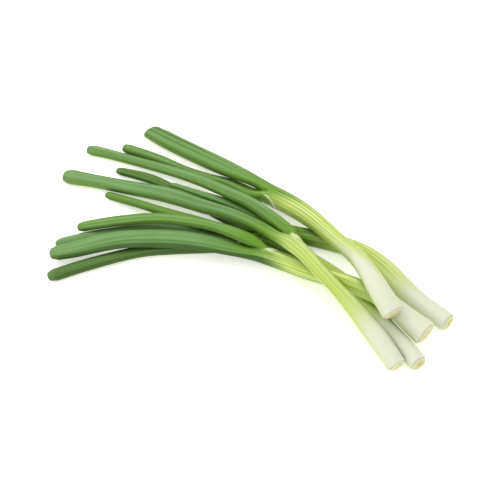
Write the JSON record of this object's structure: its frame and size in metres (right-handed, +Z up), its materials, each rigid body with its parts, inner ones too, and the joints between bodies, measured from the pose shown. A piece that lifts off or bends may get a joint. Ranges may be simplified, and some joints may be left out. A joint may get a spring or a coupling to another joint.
{
  "type": "spring onion bunch",
  "caption": "Bunch of trimmed spring onions lying crossed on a table, with white root ends, pale lime shanks and long green leaves cut at the tips.",
  "frame": {"origin": "middle of the bunch's box, on the table top it lies on", "axes": "+X along the bunch towards the root ends, +Z up from the table"},
  "size_m": [0.3042, 0.1602, 0.0377],
  "materials": {
    "shank": "smooth moist skin, white at the root end to lime green at the fork, with fine lengthwise stripes",
    "leaf": "waxy green skin with a blue-grey bloom and fine lengthwise veins",
    "root_plate": "matt beige cut face with a ring of trimmed root stubs"
  },
  "bodies": {
    "root": {"onion_1_shank": "shank", "onion_1_root_plate": "root_plate", "onion_1_leaf_1": "leaf", "onion_1_leaf_2": "leaf", "onion_2_shank": "shank", "onion_2_root_plate": "root_plate", "onion_2_leaf_1": "leaf", "onion_2_leaf_2": "leaf", "onion_3_shank": "shank", "onion_3_root_plate": "root_plate", "onion_3_leaf_1": "leaf", "onion_3_leaf_2": "leaf", "onion_3_leaf_3": "leaf", "onion_4_shank": "shank", "onion_4_root_plate": "root_plate", "onion_4_leaf_1": "leaf", "onion_4_leaf_2": "leaf", "onion_5_shank": "shank", "onion_5_root_plate": "root_plate", "onion_5_leaf_1": "leaf", "onion_5_leaf_2": "leaf"}
  },
  "joints": []
}
